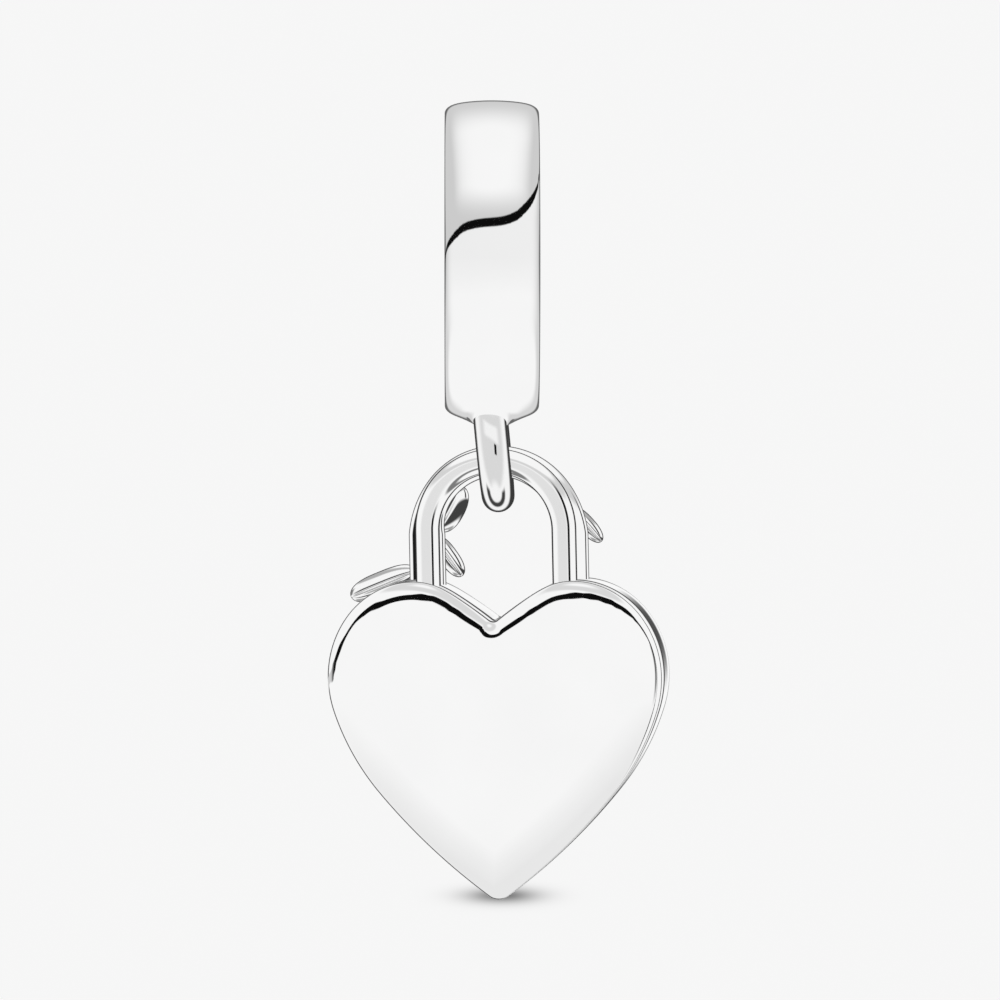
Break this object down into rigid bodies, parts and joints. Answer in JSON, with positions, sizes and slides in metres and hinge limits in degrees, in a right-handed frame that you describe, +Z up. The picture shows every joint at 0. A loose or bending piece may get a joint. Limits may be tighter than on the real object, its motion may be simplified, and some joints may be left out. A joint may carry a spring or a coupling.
{
  "type": "dangle charm",
  "caption": "Wide ring bail with a soldered wire loop, and a heart-shaped padlock whose arched shackle hangs free in the loop.",
  "frame": {"origin": "centre of the bail's bore, half way along its length", "axes": "+X along the bore, +Z up to the top of the bail, so that the plain face of the heart looks along -Y as it hangs"},
  "size_m": [0.0105, 0.0096, 0.0244],
  "materials": {
    "polished_silver": "mirror-polished silver"
  },
  "bodies": {
    "bail": {"bail": "polished_silver"},
    "heart_padlock": {"heart_padlock": "polished_silver"}
  },
  "joints": [
    {"name": "heart_swing", "type": "hinge", "parent": "bail", "child": "heart_padlock", "pos_m": [0.0002, 0, -0.00582], "axis": [1, 0, 0], "range_deg": [-90, 90]}
  ]
}
